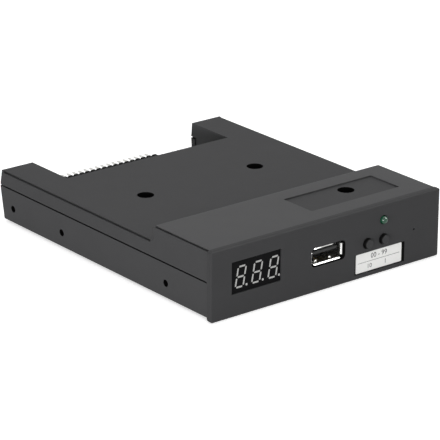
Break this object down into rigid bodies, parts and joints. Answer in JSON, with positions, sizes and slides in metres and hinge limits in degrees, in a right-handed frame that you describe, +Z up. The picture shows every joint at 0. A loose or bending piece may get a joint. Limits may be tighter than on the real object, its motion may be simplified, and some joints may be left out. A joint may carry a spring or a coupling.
{
  "type": "floppy drive emulator",
  "caption": "Flat black drive bay unit with a raised front, a digit display, a USB socket, push buttons and a lamp in its bezel, and pin headers in a notch at the rear.",
  "frame": {"origin": "middle of the unit's width and length, on the plane of the pads under it", "axes": "+X to the right seen from the front, +Y from the bezel towards the rear connectors, +Z up"},
  "size_m": [0.1016, 0.1246, 0.0254],
  "materials": {
    "case_black": "fine moulded texture, satin",
    "bezel_black": "smooth moulded, satin",
    "label_white": "matt printed sticker",
    "solder_mask": "green solder mask over glass laminate",
    "display_black": "smooth cast face",
    "segment_grey": "cast translucent resin, unlit",
    "socket_steel": "tin plated sheet",
    "pin_metal": "tin plated",
    "contact_gold": "gold flash",
    "tongue_black": "moulded",
    "header_black": "moulded",
    "header_white": "natural nylon",
    "switch_black": "moulded",
    "plunger_black": "smooth moulded",
    "lamp_green": "clear green epoxy, unlit",
    "screw_steel": "zinc plated",
    "chip_black": "moulded epoxy",
    "can_steel": "drawn can",
    "sleeve_blue": "shrunk sleeve",
    "chip_ceramic": "fired body"
  },
  "bodies": {
    "drive": {"bottom_shell": "case_black", "top_shell": "case_black", "front_bezel": "bezel_black", "selector_label": "label_white", "case_screws": "screw_steel", "main_board": "solder_mask", "display_board": "solder_mask", "display_housing": "display_black", "display_segments": "segment_grey", "display_pins": "pin_metal", "display_driver_body": "chip_black", "display_driver_leads": "pin_metal", "display_link_block": "header_black", "display_link_pins": "pin_metal", "usb_shell": "socket_steel", "usb_tongue": "tongue_black", "usb_contacts": "contact_gold", "tens_switch_body": "switch_black", "tens_switch_cover": "socket_steel", "tens_switch_dome": "can_steel", "units_switch_body": "switch_black", "units_switch_cover": "socket_steel", "units_switch_dome": "can_steel", "switch_terminals": "pin_metal", "lamp_lens": "lamp_green", "lamp_leads": "pin_metal", "interface_header_block": "header_black", "interface_header_pins": "pin_metal", "power_header_block": "header_white", "power_header_pins": "pin_metal", "jumper_header_block": "header_black", "jumper_header_pins": "contact_gold", "jumper_caps": "header_black", "microcontroller_body": "chip_black", "microcontroller_leads": "pin_metal", "bus_driver_bodies": "chip_black", "bus_driver_leads": "pin_metal", "regulator_body": "chip_black", "regulator_leads": "pin_metal", "crystal_can": "can_steel", "crystal_leads": "pin_metal", "capacitor_cans": "sleeve_blue", "capacitor_leads": "pin_metal", "resistor_arrays": "chip_black", "chip_parts": "chip_ceramic"},
    "tens_plunger": {"tens_button": "plunger_black"},
    "units_plunger": {"units_button": "plunger_black"}
  },
  "joints": [
    {"name": "tens_button_press", "type": "slide", "parent": "drive", "child": "tens_plunger", "axis": [0, 1, 0], "range_m": [0, 0.00025], "stiffness_N_per_m": 1200, "springref_m": -0.0005},
    {"name": "units_button_press", "type": "slide", "parent": "drive", "child": "units_plunger", "axis": [0, 1, 0], "range_m": [0, 0.00025], "stiffness_N_per_m": 1200, "springref_m": -0.0005}
  ]
}
